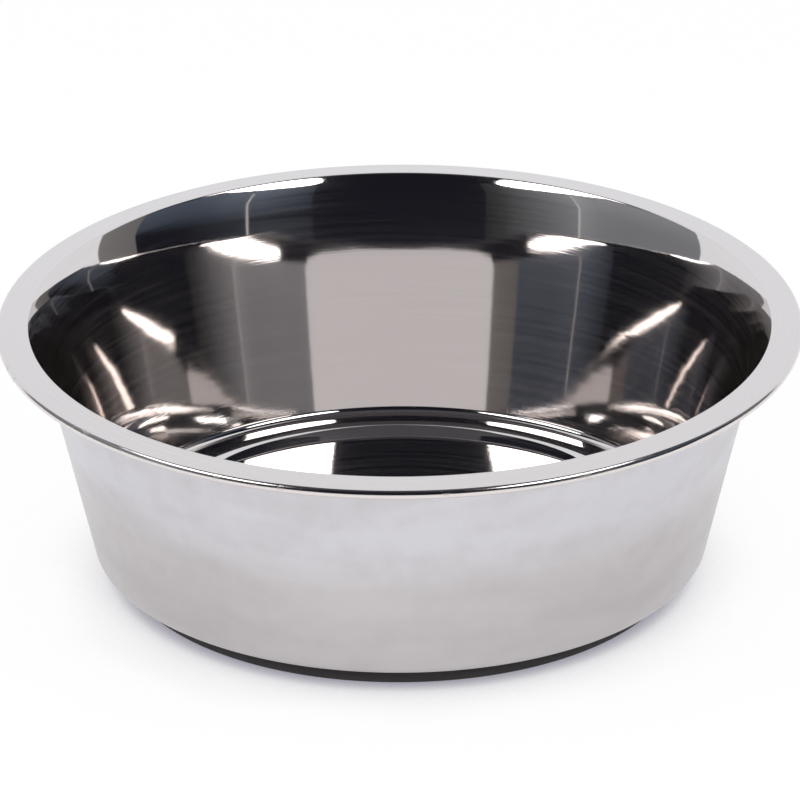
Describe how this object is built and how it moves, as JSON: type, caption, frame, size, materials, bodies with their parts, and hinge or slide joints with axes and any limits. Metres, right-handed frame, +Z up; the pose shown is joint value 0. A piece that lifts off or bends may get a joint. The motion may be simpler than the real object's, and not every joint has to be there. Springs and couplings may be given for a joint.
{
  "type": "pet bowl",
  "caption": "Round flared pet bowl of polished sheet steel with a wide rim, a rolled edge and a stepped foot, standing on a black rubber anti-skid ring.",
  "frame": {"origin": "on the floor, in the middle of the rubber ring's underside", "axes": "+Z up along the bowl's axis; +X and +Y are alike, because the bowl is round"},
  "size_m": [0.25, 0.25, 0.083],
  "materials": {
    "polished_steel": "polished inside, satin outside",
    "black_rubber": "matt moulded"
  },
  "bodies": {
    "root": {"bowl_shell": "polished_steel", "anti_skid_ring": "black_rubber"}
  },
  "joints": []
}
